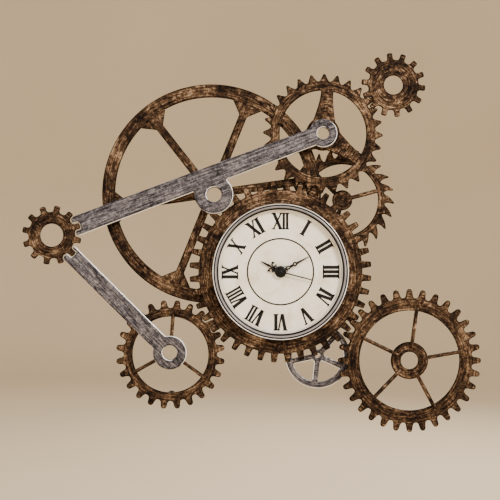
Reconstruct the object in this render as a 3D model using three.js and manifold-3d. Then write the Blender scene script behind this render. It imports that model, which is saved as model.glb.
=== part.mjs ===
// Wall clock dressed as a train of weathered metal gears.
// Millimetres. +X is right, +Z is up and -Y is the front, so the wall is the plane y = 0.
// "Forward" below is a distance from the wall, f = -y. Angles are clock angles: 0 is up, clockwise.
import * as THREE from 'three';
import { mergeVertices } from 'three/addons/utils/BufferGeometryUtils.js';
import Module from 'manifold-3d';

const wasm = await Module();
wasm.setup();

// ---------------------------------------------------------------- driving dimensions

const GAP = 0.3;              // between pieces that touch
const ARC = 5;                // degrees for each flat on a large arc
const HANGER_UP = 309;        // middle of the hangers' feet, above the dial's centre

// layers, as distances from the wall
const BACK_LAYER = { back: 8, front: 12 };       // ratchet wheel
const MIDDLE_LAYER = { back: 19, front: 23 };    // flywheel, spoked wheel
const GEAR_LAYER = { back: 30, front: 34 };      // meshing gears
const ARM_LAYER = { back: 40, front: 45 };       // arms and left gear
const ROD_THICK = 4.5;
const STRAP_THICK = 2;
const BEZEL_FRONT = 50;

// wheels; x and z are centres from the dial's centre
const CLOCK = { x: 0, z: 0, teeth: 40, phase: 4.2, tip: 177.9, root: 160.3, bore: 95 };
const LOWER_LEFT = { x: -215, z: -161.9, teeth: 24, phase: 7.6, tip: 106.5, root: 90.9,
  bore: 74.3, hub: 30, hole: 14.3, hubRight: -0.6, hubUp: 4.6 };
const LOWER_RIGHT = { x: 252.2, z: -173.6, teeth: 32, phase: 0, tip: 139.8, root: 122.2,
  bore: 97.8, hub: 36.6, hole: 17 };
const UPPER = { x: 83.1, z: 269.6, teeth: 28, phase: 1.4, tip: 117.3, root: 102.6,
  bore: 84.7, hub: 33, hole: 12, spokes: 3, spokePhase: 6, spokeHalf: 12, flare: 9.5 };
const CORNER = { x: 220.9, z: 365, teeth: 14, phase: 18.5, tip: 62.6, root: 48.9, bore: 18.6 };
const LEFT = { x: -445.2, z: 71.2, teeth: 12, phase: 11, tip: 57.7, root: 45, bore: 22.5 };
const RATCHET = { x: 122.8, z: 140.8, teeth: 24, phase: 48.6, tip: 103.6, root: 83.1,
  bore: 71, hub: 20, spokes: 3, spokePhase: 75, spokeWidth: 8 };
const FLYWHEEL = { x: -135, z: 152.9, outer: 215.3, inner: 189.6, hub: 37.7, hole: 14.7,
  spokes: 6, spokePhase: 22, spokeWidth: 16, gusset: 60, gussetTall: 24, hubRight: 5.2, hubUp: -2.4 };
const SPOKED = { x: 73.3, z: -165.8, outer: 63.5, inner: 50.8, hub: 13, hole: 4.5,
  spokes: 5, spokePhase: 186, spokeWidth: 10.8 };

const HUB_TUBE_WALL = 5;
const LOWER_LEFT_RODS = { count: 3, phase: 4, width: 7,
  start: LOWER_LEFT.hole + HUB_TUBE_WALL + 1.7, lap: 6 };
const LOWER_RIGHT_RODS = { count: 5, phase: 8, width: 7.4, start: LOWER_RIGHT.hole + 8, lap: 8 };

// where the flywheel stops short behind the clock gear, from the dial's centre
const FLYWHEEL_STOP = 122;

// arms; their holes are those of the hubs behind them
const ARM_START = 46;         // from the left gear's centre, inside its teeth
const TOOTH_ROOM = 1.5;       // between a forked arm end and the tooth in it
const LONG_ARM = { startWidth: 39, endWidth: 34, end: 27.4 };
const SHORT_ARM = { width: 33, end: 32.8 };

// dial, bezel and hands
const BEZEL = { inner: 119.4, outer: 132.3, wall: 6.6, lip: 2.2 };
const DIAL = { radius: BEZEL.outer - BEZEL.wall - GAP, thick: 1.5, hole: 4.2 };
const HOUR = { length: 43.6, at: 298, forward: 38.2, thick: 1 };
const MINUTE = { length: 62, at: 62, forward: 40.2, thick: 1 };
const SECOND = { length: 63.3, tail: 18, at: 104.7, forward: 42.2, thick: 0.6, cap: 11.5 };
const HOUR_TUBE = { outer: 2.6, inner: 1.75 };
const MINUTE_TUBE = { outer: 1.7, inner: 0.95 };
const SECOND_PIN = 0.9;
const HAND_HUB = 8;
const HAND_TAIL = 5;
const HAND_HALF_WIDTH = 3.4;
const SECOND_HALF_WIDTH = { tail: 1.6, tip: 0.5 };
const CAP_RISE = 0.6;         // of the second hand's cap, above its blade

// quartz movement behind the dial
const CELL = { radius: 7.1, long: 49.2, button: 2.6, buttonTall: 1.3 };
const BAY = { long: CELL.long + 2.3, wide: 2 * CELL.radius + 0.8, deep: 2 * CELL.radius + 1, up: -17 };
const CASE = { side: BAY.long + 4.5, thick: BAY.deep + 0.8, bushing: 4, bushingBore: 2.7, corner: 5 };
const TUBE_DEPTHS = { hour: 6, minute: 8, second: 9, well: 9.5 };  // into the case, from its front
const NUT = { flats: 12, thick: 2 };
const KNOB = { radius: 6, thick: 3, stem: 1.6, stemLong: 5, right: 14, up: 14 };

// rear supports
const STRAP_WIDTH = 9;
const STRAP_LAP = 12;
const POST = 4;
const POST_CIRCLE = { wheels: 135, ratchet: 145 };  // of the posts on the clock gear's ring
const HANGER = { wide: 18, tall: 34, sheet: 2, head: 4.6, slot: 2.6, slotUp: 9, face: 9 };
const STANDOFF = { radius: 5, foot: 8, footThick: 4 };

// ---------------------------------------------------------------- colours

const rust = () => new THREE.MeshStandardMaterial({ color: 0x5f3d28, roughness: 0.75, metalness: 0.45 });
const silver = () => new THREE.MeshStandardMaterial({ color: 0x8b8388, roughness: 0.55, metalness: 0.6 });
const chrome = () => new THREE.MeshStandardMaterial({ color: 0x9a9799, roughness: 0.35, metalness: 0.8 });
const cream = () => new THREE.MeshStandardMaterial({ color: 0xe6dcc6, roughness: 0.8, metalness: 0 });
const black = () => new THREE.MeshStandardMaterial({ color: 0x141312, roughness: 0.5, metalness: 0.2 });
const plastic = () => new THREE.MeshStandardMaterial({ color: 0x1d1d1e, roughness: 0.6, metalness: 0 });
const brass = () => new THREE.MeshStandardMaterial({ color: 0xb08d4a, roughness: 0.4, metalness: 0.9 });
const rubber = () => new THREE.MeshStandardMaterial({ color: 0x222222, roughness: 0.9, metalness: 0 });
const jacket = () => new THREE.MeshStandardMaterial({ color: 0x3f6b4e, roughness: 0.45, metalness: 0.2 });

// ---------------------------------------------------------------- geometry helpers

const radians = (degrees) => degrees * Math.PI / 180;

// A point at a radius and clock angle, as a 2D vector of right and up.
const polar = (radius, degrees) =>
  new THREE.Vector2(radius * Math.sin(radians(degrees)), radius * Math.cos(radians(degrees)));

const clockAngle = (x, z) => Math.atan2(x, z) * 180 / Math.PI;

const shapeOf = (points) => new THREE.Shape(points);

function rectangle(left, right, bottom, top) {
  return shapeOf([
    new THREE.Vector2(left, bottom), new THREE.Vector2(right, bottom),
    new THREE.Vector2(right, top), new THREE.Vector2(left, top),
  ]);
}

function arcPoints(radius, from, to, centre = new THREE.Vector2()) {
  const steps = Math.max(2, Math.ceil(Math.abs(to - from) / ARC));
  const points = [];
  for (let i = 0; i <= steps; i++) {
    points.push(polar(radius, from + (to - from) * i / steps).add(centre));
  }
  return points;
}

function circle(radius, flats = 56, centre = new THREE.Vector2()) {
  const points = [];
  for (let i = 0; i < flats; i++) {
    points.push(polar(radius, 360 * i / flats).add(centre));
  }
  return points;
}

// The outline is turned counter-clockwise first, so that its holes may run either way.
function withHoles(outline, holes) {
  const shape = shapeOf(THREE.ShapeUtils.isClockWise(outline) ? outline.toReversed() : outline);
  for (const hole of holes) {
    shape.holes.push(new THREE.Path(hole));
  }
  return shape;
}

// A flat plate between two distances from the wall; the shape's y becomes up.
function plate(shape, back, front) {
  const geometry = new THREE.ExtrudeGeometry(shape, {
    depth: front - back, bevelEnabled: false, steps: 1, curveSegments: 12,
  });
  geometry.translate(0, 0, back);
  geometry.rotateX(Math.PI / 2);
  return geometry;
}

// A turned piece about the front-to-back axis: profile points are radius and forward.
function turned(profile, flats) {
  const geometry = new THREE.LatheGeometry(profile.map(([r, f]) => new THREE.Vector2(r, f)), flats);
  geometry.rotateX(Math.PI);
  return geometry;
}

function bar(width, back, front, from, to) {
  const half = width / 2;
  const along = new THREE.Vector2().subVectors(to, from).normalize();
  const side = new THREE.Vector2(-along.y, along.x).multiplyScalar(half);
  return plate(shapeOf([
    from.clone().add(side), from.clone().sub(side), to.clone().sub(side), to.clone().add(side),
  ]), back, front);
}

function solid(geometry) {
  const bare = geometry.clone();
  bare.deleteAttribute('normal');
  bare.deleteAttribute('uv');
  const merged = mergeVertices(bare, 1e-4);
  return new wasm.Manifold(new wasm.Mesh({
    numProp: 3,
    vertProperties: merged.attributes.position.array,
    triVerts: new Uint32Array(merged.index.array),
  }));
}

function geometryOf(manifold) {
  const mesh = manifold.getMesh();
  const geometry = new THREE.BufferGeometry();
  geometry.setAttribute('position', new THREE.BufferAttribute(new Float32Array(mesh.vertProperties), 3));
  geometry.setIndex(new THREE.BufferAttribute(new Uint32Array(mesh.triVerts), 1));
  const flat = geometry.toNonIndexed();
  flat.computeVertexNormals();
  return flat;
}

const centreOf = (wheel) => new THREE.Vector2(wheel.x, wheel.z);

function joined(first, ...others) {
  return geometryOf(others.reduce((sum, next) => sum.add(solid(next)), solid(first)));
}

function cut(first, ...others) {
  return geometryOf(others.reduce((rest, next) => rest.subtract(solid(next)), solid(first)));
}

// Outline of a toothed wheel. A tooth is a list of [place, height]: place is in tooth pitches from
// the tooth's centre line, and height runs from 0 at the root to 1 at the tip. An outline can be
// grown outwards all round, to cut room for the wheel in a neighbour.
function toothed(wheel, tooth, grow = 0, at = new THREE.Vector2()) {
  const widen = grow * wheel.teeth / (2 * Math.PI * wheel.root);
  const points = [];
  for (let i = 0; i < wheel.teeth; i++) {
    for (const [place, height] of tooth) {
      const radius = wheel.root + (wheel.tip - wheel.root) * height + grow;
      const turn = place === -0.5 ? place : place + Math.sign(place) * widen;
      points.push(polar(radius, wheel.phase + (i + turn) * 360 / wheel.teeth).add(at));
    }
  }
  return points;
}

const SQUARE_TOOTH = [[-0.5, 0], [-0.28, 0], [-0.18, 1], [0.18, 1], [0.28, 0]];
const STUB_TOOTH = [[-0.5, 0], [-0.31, 0.04], [-0.22, 0.3], [-0.2, 0.86], [-0.13, 1],
  [0.13, 1], [0.2, 0.86], [0.22, 0.3], [0.31, 0.04]];
const ROUND_TOOTH = [[-0.5, 0], [-0.36, 0.03], [-0.27, 0.25], [-0.2, 0.8], [-0.1, 1],
  [0.1, 1], [0.2, 0.8], [0.27, 0.25], [0.36, 0.03]];
const POINTED_TOOTH = [[-0.5, 0], [-0.38, 0.06], [-0.2, 0.5], [-0.09, 0.92], [0, 1],
  [0.09, 0.92], [0.2, 0.5], [0.38, 0.06]];
const SAW_TOOTH = [[-0.75, 0.12], [-0.55, 0.42], [-0.3, 0.72], [0, 1], [0.04, 0.82],
  [-0.04, 0.5], [-0.02, 0.2], [0.08, 0]];

// ---------------------------------------------------------------- assembly helpers

// Where a wheel's radial line at a clock angle reaches a height.
const onRadius = (wheel, degrees, height) =>
  ({ x: wheel.x + (height - wheel.z) * Math.tan(radians(degrees)), z: height });

// Both hangers are at one height: behind the upper gear's top spoke, and behind a flywheel spoke's foot.
const HANGER_RIGHT = onRadius(UPPER, UPPER.spokePhase, HANGER_UP);
const HANGER_LEFT = onRadius(FLYWHEEL, FLYWHEEL.spokePhase + 300, HANGER_UP);

// The origin is on the wall face of the right hanger's foot, below its keyhole.
const root = new THREE.Group();
const clock = new THREE.Group();
clock.position.set(-HANGER_RIGHT.x, 0, -(HANGER_RIGHT.z - HANGER.face));
root.add(clock);

function place(name, geometry, material, wheel = CLOCK) {
  const mesh = new THREE.Mesh(geometry, material);
  mesh.name = name;
  mesh.position.set(wheel.x, 0, wheel.z);
  clock.add(mesh);
}

// The two clock angles about one centre at which a circle of one radius meets a circle about another.
function meeting(wheel, radius, other, otherRadius) {
  const between = centreOf(other).sub(centreOf(wheel));
  const distance = between.length();
  const cosine = (distance ** 2 + radius ** 2 - otherRadius ** 2) / (2 * distance * radius);
  const spread = Math.acos(cosine) * 180 / Math.PI;
  const middle = clockAngle(between.x, between.y);
  return [middle - spread, middle + spread];
}

function post(name, wheel, radius, degrees, back, front, material) {
  const at = polar(radius, degrees);
  place(name, plate(shapeOf(circle(POST, 16, at)), back + GAP, front - GAP), material, wheel);
}

// ---------------------------------------------------------------- gears that mesh

// A gear of the front layer with its teeth relieved where they meet a neighbour's teeth.
function relieved(geometry, wheel, neighbour, tooth) {
  const at = centreOf(neighbour).sub(centreOf(wheel));
  const room = plate(shapeOf(toothed(neighbour, tooth, GAP, at)), GEAR_LAYER.back - 1, GEAR_LAYER.front + 1);
  const pieces = solid(geometry).subtract(solid(room)).decompose();
  return geometryOf(pieces.reduce((most, piece) => piece.volume() > most.volume() ? piece : most));
}

function clockGear() {
  return plate(withHoles(toothed(CLOCK, SQUARE_TOOTH), [circle(CLOCK.bore)]),
    GEAR_LAYER.back, GEAR_LAYER.front);
}

// An opening between two flared spokes, whose half width grows towards the hub.
function flaredWindow(wheel, from, to) {
  const edge = (radius) => {
    const depth = (wheel.bore - radius) / (wheel.bore - wheel.hub);
    const half = wheel.spokeHalf + wheel.flare * depth ** 2;
    return Math.asin(half / radius) * 180 / Math.PI;
  };
  const radii = [];
  const steps = 6;
  for (let i = 0; i <= steps; i++) {
    radii.push(wheel.bore + (wheel.hub - wheel.bore) * i / steps);
  }
  const rim = arcPoints(wheel.bore, from + edge(wheel.bore), to - edge(wheel.bore));
  const down = radii.slice(1).map((r) => polar(r, to - edge(r)));
  const hub = arcPoints(wheel.hub, to - edge(wheel.hub), from + edge(wheel.hub)).slice(1, -1);
  const up = radii.slice(1).reverse().map((r) => polar(r, from + edge(r)));
  return [...rim, ...down, ...hub, ...up];
}

function upperGear() {
  const pitch = 360 / UPPER.spokes;
  const holes = [circle(UPPER.hole, 32)];
  for (let i = 0; i < UPPER.spokes; i++) {
    const from = UPPER.spokePhase + i * pitch;
    holes.push(flaredWindow(UPPER, from, from + pitch));
  }
  const whole = plate(withHoles(toothed(UPPER, POINTED_TOOTH), holes), GEAR_LAYER.back, GEAR_LAYER.front);
  return relieved(whole, UPPER, CLOCK, SQUARE_TOOTH);
}

function cornerGear() {
  const whole = plate(withHoles(toothed(CORNER, STUB_TOOTH), [circle(CORNER.bore, 40)]),
    GEAR_LAYER.back, GEAR_LAYER.front);
  return relieved(whole, CORNER, UPPER, POINTED_TOOTH);
}

place('clock_gear', clockGear(), rust());
place('upper_gear', upperGear(), rust(), UPPER);
place('corner_gear', cornerGear(), rust(), CORNER);

// The hub of a wheel can sit a little off the middle of its rim.
const hubOf = (wheel) => new THREE.Vector2(wheel.hubRight ?? 0, wheel.hubUp ?? 0);

// A toothed ring and a hub ring joined by rods that lie on their faces.
function roddedGear(name, wheel, rods, hubFlats) {
  const { back, front } = GEAR_LAYER;
  const ring = plate(withHoles(toothed(wheel, ROUND_TOOTH), [circle(wheel.bore)]), back, front);
  place(name + '_ring', relieved(ring, wheel, CLOCK, SQUARE_TOOTH), rust(), wheel);
  const hub = hubOf(wheel);
  place(name + '_hub', plate(withHoles(circle(wheel.hub, hubFlats, hub), [circle(wheel.hole, hubFlats, hub)]),
    back, front), rust(), wheel);
  for (let i = 0; i < rods.count; i++) {
    const degrees = rods.phase + i * 360 / rods.count;
    const outer = polar(wheel.bore + rods.lap, degrees);
    const inner = outer.clone().sub(hub).setLength(rods.start).add(hub);
    place(name + '_rod_' + (i + 1),
      bar(rods.width, front + GAP, front + ROD_THICK, inner, outer), rust(), wheel);
  }
}

roddedGear('lower_left', LOWER_LEFT, LOWER_LEFT_RODS, 28);
roddedGear('lower_right', LOWER_RIGHT, LOWER_RIGHT_RODS, 28);

// ---------------------------------------------------------------- wheels behind the gears

function ratchetWheel() {
  const { back, front } = BACK_LAYER;
  place('ratchet_ring', plate(withHoles(toothed(RATCHET, SAW_TOOTH), [circle(RATCHET.bore)]), back, front),
    rust(), RATCHET);
  place('ratchet_hub', plate(shapeOf(circle(RATCHET.hub, 32)), back, front), rust(), RATCHET);
  for (let i = 0; i < RATCHET.spokes; i++) {
    const degrees = RATCHET.spokePhase + i * 360 / RATCHET.spokes;
    place('ratchet_spoke_' + (i + 1), spokeBetween(RATCHET, RATCHET.hub, RATCHET.bore,
      RATCHET.spokeWidth, degrees, back, front), rust(), RATCHET);
  }
}

// A straight spoke whose ends follow the hub and the rim.
function spokeBetween(wheel, hub, rim, width, degrees, back, front, foot = 0, footTall = 0) {
  const half = width / 2;
  const inner = hub + GAP;
  const outer = rim - GAP;
  const turn = (halfWidth, radius) => Math.asin(halfWidth / radius) * 180 / Math.PI;
  const footHalf = Math.max(half, foot / 2);
  const innerTurn = turn(half, inner);
  const outerTurn = turn(footHalf, outer);
  const points = [
    ...arcPoints(inner, degrees + innerTurn, degrees - innerTurn),
    ...(foot ? [polar(rim - footTall, degrees - turn(half, rim - footTall))] : []),
    ...arcPoints(outer, degrees - outerTurn, degrees + outerTurn),
    ...(foot ? [polar(rim - footTall, degrees + turn(half, rim - footTall))] : []),
  ];
  return plate(shapeOf(points), back, front);
}

// The rim is open where it would pass behind the dial; the spoke there stops short too.
function flywheel() {
  const { back, front } = MIDDLE_LAYER;
  const middle = (FLYWHEEL.outer + FLYWHEEL.inner) / 2;
  const [start, end] = meeting(FLYWHEEL, middle, CLOCK, FLYWHEEL_STOP);
  const rim = [
    ...arcPoints(FLYWHEEL.outer, end, start + 360),
    ...arcPoints(FLYWHEEL.inner, start + 360, end),
  ];
  place('flywheel_rim', plate(shapeOf(rim), back, front), rust(), FLYWHEEL);
  const hub = hubOf(FLYWHEEL);
  place('flywheel_hub', plate(withHoles(circle(FLYWHEEL.hub, 36, hub), [circle(FLYWHEEL.hole, 28, hub)]),
    back, front), rust(), FLYWHEEL);
  const hubRoom = plate(shapeOf(circle(FLYWHEEL.hub + GAP, 36, hub)), back - 1, front + 1);
  const root = FLYWHEEL.hub - hub.length() - 1;
  for (let i = 0; i < FLYWHEEL.spokes; i++) {
    const degrees = FLYWHEEL.spokePhase + i * 360 / FLYWHEEL.spokes;
    const stopped = degrees > start && degrees < end;
    const reach = centreOf(FLYWHEEL).length() - FLYWHEEL_STOP;
    const spoke = stopped
      ? spokeBetween(FLYWHEEL, root, reach, FLYWHEEL.spokeWidth, degrees, back, front)
      : spokeBetween(FLYWHEEL, root, FLYWHEEL.inner, FLYWHEEL.spokeWidth, degrees, back, front,
        FLYWHEEL.gusset, FLYWHEEL.gussetTall);
    place('flywheel_spoke_' + (i + 1), cut(spoke, hubRoom), rust(), FLYWHEEL);
  }
}

function spokedWheel() {
  const { back, front } = MIDDLE_LAYER;
  const spokes = [];
  for (let i = 0; i < SPOKED.spokes; i++) {
    const degrees = SPOKED.spokePhase + i * 360 / SPOKED.spokes;
    spokes.push(bar(SPOKED.spokeWidth, back, front,
      polar(SPOKED.hole + 2, degrees), polar(SPOKED.inner + 2, degrees)));
  }
  const rim = plate(withHoles(circle(SPOKED.outer, 60), [circle(SPOKED.inner, 60)]), back, front);
  const hub = plate(shapeOf(circle(SPOKED.hub, 30)), back, front);
  const hole = plate(shapeOf(circle(SPOKED.hole, 24)), back - 1, front + 1);
  return cut(joined(rim, hub, ...spokes), hole);
}

ratchetWheel();
flywheel();
place('spoked_wheel', spokedWheel(), silver(), SPOKED);

// ---------------------------------------------------------------- left gear and the arms

place('left_gear', plate(withHoles(toothed(LEFT, STUB_TOOTH), [circle(LEFT.bore, 40)]),
  ARM_LAYER.back, ARM_LAYER.front), rust(), LEFT);

// An arm is drawn from the left gear's centre. Its start forks round a tooth of that gear.
function armBlank(endX, endZ, startWidth, endWidth, endRadius, bosses) {
  const { back, front } = ARM_LAYER;
  const end = new THREE.Vector2(endX, endZ);
  const along = end.clone().normalize();
  const side = new THREE.Vector2(-along.y, along.x);
  const start = along.clone().multiplyScalar(ARM_START);
  const corner = (point, half) => point.clone().addScaledVector(side, half);
  const blade = plate(shapeOf([
    corner(start, startWidth / 2), corner(start, -startWidth / 2),
    corner(end, -endWidth / 2), corner(end, endWidth / 2),
  ]), back, front);
  const rounds = [plate(shapeOf(circle(endRadius, 48, end)), back, front)];
  for (const boss of bosses) {
    rounds.push(plate(shapeOf(circle(boss.radius, 56, boss.at)), back, front));
  }
  return joined(blade, ...rounds);
}

const armCutter = (outline) => plate(shapeOf(outline), ARM_LAYER.back - 1, ARM_LAYER.front + 1);

function longArm() {
  const end = centreOf(UPPER).sub(centreOf(LEFT));
  const boss = centreOf(FLYWHEEL).add(hubOf(FLYWHEEL)).sub(centreOf(LEFT));
  const blank = armBlank(end.x, end.y, LONG_ARM.startWidth, LONG_ARM.endWidth, LONG_ARM.end,
    [{ at: boss, radius: FLYWHEEL.hub }]);
  return cut(blank, armCutter(toothed(LEFT, STUB_TOOTH, TOOTH_ROOM)),
    armCutter(circle(UPPER.hole, 32, end)), armCutter(circle(FLYWHEEL.hole, 48, boss)));
}

function shortArm() {
  const end = centreOf(LOWER_LEFT).add(hubOf(LOWER_LEFT)).sub(centreOf(LEFT));
  const blank = armBlank(end.x, end.y, SHORT_ARM.width, SHORT_ARM.width, SHORT_ARM.end, []);
  return cut(blank, armCutter(toothed(LEFT, STUB_TOOTH, TOOTH_ROOM)),
    armCutter(circle(LOWER_LEFT.hole, 40, end)));
}

place('long_arm', longArm(), silver(), LEFT);
place('short_arm', shortArm(), silver(), LEFT);

// Tubes that hold the arms off the hubs behind them.
function hubTube(name, wheel, back) {
  const hub = hubOf(wheel);
  const tube = withHoles(circle(wheel.hole + HUB_TUBE_WALL, 28, hub), [circle(wheel.hole, 28, hub)]);
  place(name, plate(tube, back + GAP, ARM_LAYER.back - GAP), rust(), wheel);
}

hubTube('flywheel_hub_tube', FLYWHEEL, MIDDLE_LAYER.front);
hubTube('upper_hub_tube', UPPER, GEAR_LAYER.front);
hubTube('lower_left_hub_tube', LOWER_LEFT, GEAR_LAYER.front);

// ---------------------------------------------------------------- dial, bezel and hands

const dialBack = GEAR_LAYER.front + GAP;
const dialFront = dialBack + DIAL.thick;
const caseFront = dialBack - GAP;
const caseBack = caseFront - CASE.thick;

// Stepped from its outer wall in: a raised edge, a groove, a broad band and a lip that slopes to the dial.
function bezel() {
  const { inner, outer, lip } = BEZEL;
  const seat = DIAL.radius + GAP;
  return turned([
    [outer, dialBack],
    [outer, BEZEL_FRONT - 1.5],
    [outer - 1.5, BEZEL_FRONT],
    [outer - 3.4, BEZEL_FRONT],
    [outer - 4.2, BEZEL_FRONT - 2.5],
    [outer - 5.4, BEZEL_FRONT - 2.5],
    [inner + 5.5, BEZEL_FRONT - 1.2],
    [inner + lip, BEZEL_FRONT - 3],
    [inner, BEZEL_FRONT - 6],
    [inner, dialFront + GAP],
    [seat, dialFront + GAP],
    [seat, dialBack],
    [outer, dialBack],
  ], 56);
}

// A blade from its tail to its point, narrowing in two steps.
function handBlade(length) {
  const wide = HAND_HALF_WIDTH;
  const narrow = wide * 0.35;
  return shapeOf([
    new THREE.Vector2(-wide, -HAND_TAIL), new THREE.Vector2(wide, -HAND_TAIL),
    new THREE.Vector2(wide, length * 0.45), new THREE.Vector2(narrow, length * 0.8),
    new THREE.Vector2(0, length), new THREE.Vector2(-narrow, length * 0.8),
    new THREE.Vector2(-wide, length * 0.45),
  ]);
}

// A blade pressed on its tube, turned to its place on the dial.
function hand(spec, tube, depth) {
  const front = spec.forward + spec.thick;
  const tubeBack = caseFront - depth;
  const blade = plate(handBlade(spec.length), spec.forward, front);
  const disc = plate(shapeOf(circle(HAND_HUB, 24)), spec.forward, front);
  const sleeve = plate(shapeOf(circle(tube.outer, 16)), tubeBack, front);
  const bore = plate(shapeOf(circle(tube.inner, 16)), tubeBack - 1, front + 1);
  return cut(joined(blade, disc, sleeve), bore).rotateY(radians(spec.at));
}

function secondHand() {
  const front = SECOND.forward + SECOND.thick;
  const { tail, tip } = SECOND_HALF_WIDTH;
  const blade = plate(shapeOf([
    new THREE.Vector2(-tail, -SECOND.tail), new THREE.Vector2(tail, -SECOND.tail),
    new THREE.Vector2(tip, SECOND.length), new THREE.Vector2(-tip, SECOND.length),
  ]), SECOND.forward, front);
  const cap = plate(shapeOf(circle(SECOND.cap, 40)), SECOND.forward, front + CAP_RISE);
  const pin = plate(shapeOf(circle(SECOND_PIN, 16)), caseFront - TUBE_DEPTHS.second, front);
  return joined(blade, cap, pin).rotateY(radians(SECOND.at));
}

place('dial', plate(withHoles(circle(DIAL.radius), [circle(DIAL.hole, 20)]), dialBack, dialFront), cream());
place('bezel', bezel(), chrome());
place('hour_hand', hand(HOUR, HOUR_TUBE, TUBE_DEPTHS.hour), black());
place('minute_hand', hand(MINUTE, MINUTE_TUBE, TUBE_DEPTHS.minute), black());
place('second_hand', secondHand(), black());

// ---------------------------------------------------------------- quartz movement

function roundedSquare(side, corner) {
  const half = side / 2 - corner;
  const points = [];
  for (const [sx, sz, from] of [[1, 1, 0], [1, -1, 90], [-1, -1, 180], [-1, 1, 270]]) {
    const centre = new THREE.Vector2(sx * half, sz * half);
    for (let i = 0; i <= 3; i++) {
      points.push(polar(corner, from + 30 * i).add(centre));
    }
  }
  return points;
}

function movementCase() {
  const arborTop = dialFront + NUT.thick;
  const box = plate(shapeOf(roundedSquare(CASE.side, CASE.corner)), caseBack, caseFront);
  const bushing = plate(shapeOf(circle(CASE.bushing, 32)), caseFront - 1, arborTop);
  const well = plate(shapeOf(circle(CASE.bushingBore, 32)), caseFront - TUBE_DEPTHS.well, arborTop + 1);
  const bay = plate(rectangle(-BAY.long / 2, BAY.long / 2, BAY.up - BAY.wide / 2, BAY.up + BAY.wide / 2),
    caseBack - 1, caseBack + BAY.deep);
  const stemHole = plate(shapeOf(circle(KNOB.stem + 0.05, 20, new THREE.Vector2(KNOB.right, KNOB.up))),
    caseBack - 1, caseBack + KNOB.stemLong + 1);
  return cut(joined(box, bushing), well, bay, stemHole);
}

// A cylindrical cell lying across the bay, with its button at the right.
function cell() {
  const half = CELL.long / 2;
  const geometry = new THREE.LatheGeometry([
    [0, -half], [CELL.radius, -half], [CELL.radius, half], [CELL.button, half],
    [CELL.button, half + CELL.buttonTall], [0, half + CELL.buttonTall],
  ].map(([r, a]) => new THREE.Vector2(r, a)), 32);
  geometry.rotateZ(-Math.PI / 2);
  geometry.translate(-CELL.buttonTall / 2, -(caseBack + GAP + CELL.radius), BAY.up);
  return geometry;
}

function knob() {
  const front = caseBack - GAP;
  const disc = plate(shapeOf(circle(KNOB.radius, 30)), front - KNOB.thick, front);
  const stem = plate(shapeOf(circle(KNOB.stem, 20)), front - 1, caseBack + KNOB.stemLong);
  return joined(disc, stem);
}

function hexNut() {
  const corner = NUT.flats / 2 / Math.cos(radians(30));
  return plate(withHoles(circle(corner, 6), [circle(CASE.bushing + GAP, 32)]),
    dialFront + GAP, dialFront + NUT.thick);
}

place('movement_case', movementCase(), plastic());
place('shaft_nut', hexNut(), brass());
place('battery', cell(), jacket());
place('set_knob', knob(), plastic(), { x: KNOB.right, z: KNOB.up });

// ---------------------------------------------------------------- posts, straps and hangers

const ringMiddle = (wheel) => (wheel.root + wheel.bore) / 2;
const flywheelMiddle = (FLYWHEEL.outer + FLYWHEEL.inner) / 2;
const spokedMiddle = (SPOKED.outer + SPOKED.inner) / 2;

meeting(FLYWHEEL, flywheelMiddle, CLOCK, POST_CIRCLE.wheels).forEach((degrees, i) => {
  post('flywheel_post_' + (i + 1), FLYWHEEL, flywheelMiddle, degrees,
    MIDDLE_LAYER.front, GEAR_LAYER.back, rust());
});
meeting(SPOKED, spokedMiddle, CLOCK, POST_CIRCLE.wheels).forEach((degrees, i) => {
  post('spoked_wheel_post_' + (i + 1), SPOKED, spokedMiddle, degrees,
    MIDDLE_LAYER.front, GEAR_LAYER.back, rust());
});
post('ratchet_post_1', RATCHET, ringMiddle(RATCHET),
  meeting(RATCHET, ringMiddle(RATCHET), CLOCK, POST_CIRCLE.ratchet)[0],
  BACK_LAYER.front, GEAR_LAYER.back, rust());
post('ratchet_post_2', RATCHET, ringMiddle(RATCHET),
  meeting(RATCHET, ringMiddle(RATCHET), UPPER, ringMiddle(UPPER))[1],
  BACK_LAYER.front, GEAR_LAYER.back, rust());

// A flat strap behind two meshing gears, along their line of centres.
function strap(name, first, second) {
  const between = centreOf(second).sub(centreOf(first));
  const distance = between.length();
  const from = between.clone().setLength(first.root - STRAP_LAP);
  const to = between.clone().setLength(distance - second.root + STRAP_LAP);
  place(name, bar(STRAP_WIDTH, GEAR_LAYER.back - GAP - STRAP_THICK, GEAR_LAYER.back - GAP, from, to),
    rust(), first);
}

strap('strap_lower_left', CLOCK, LOWER_LEFT);
strap('strap_lower_right', CLOCK, LOWER_RIGHT);
strap('strap_upper', CLOCK, UPPER);
strap('strap_corner', UPPER, CORNER);

// A bracket with a keyholed foot on the wall and a leg at its lower edge up to the part it carries.
function hanger(layerBack) {
  const { wide, tall, sheet, head, slot, slotUp } = HANGER;
  const low = -tall / 2;
  const high = tall / 2;
  const foot = plate(rectangle(-wide / 2, wide / 2, low, high), 0, sheet);
  const leg = plate(rectangle(-wide / 2, wide / 2, low, low + sheet), 0, layerBack - GAP);
  const lip = plate(rectangle(-wide / 2, wide / 2, low, low + tall / 3),
    layerBack - GAP - sheet, layerBack - GAP);
  const hole = new THREE.Vector2(0, high - slotUp - head);
  const slotTop = new THREE.Vector2(0, high - slot - sheet);
  const round = plate(shapeOf(circle(head, 24, hole)), -1, sheet + 1);
  const neck = plate(rectangle(-slot, slot, hole.y, slotTop.y), -1, sheet + 1);
  const top = plate(shapeOf(circle(slot, 16, slotTop)), -1, sheet + 1);
  return cut(joined(foot, leg, lip), round, neck, top);
}

place('hanger_right', hanger(GEAR_LAYER.back), rust(), HANGER_RIGHT);
place('hanger_left', hanger(MIDDLE_LAYER.back), rust(), HANGER_LEFT);

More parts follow.
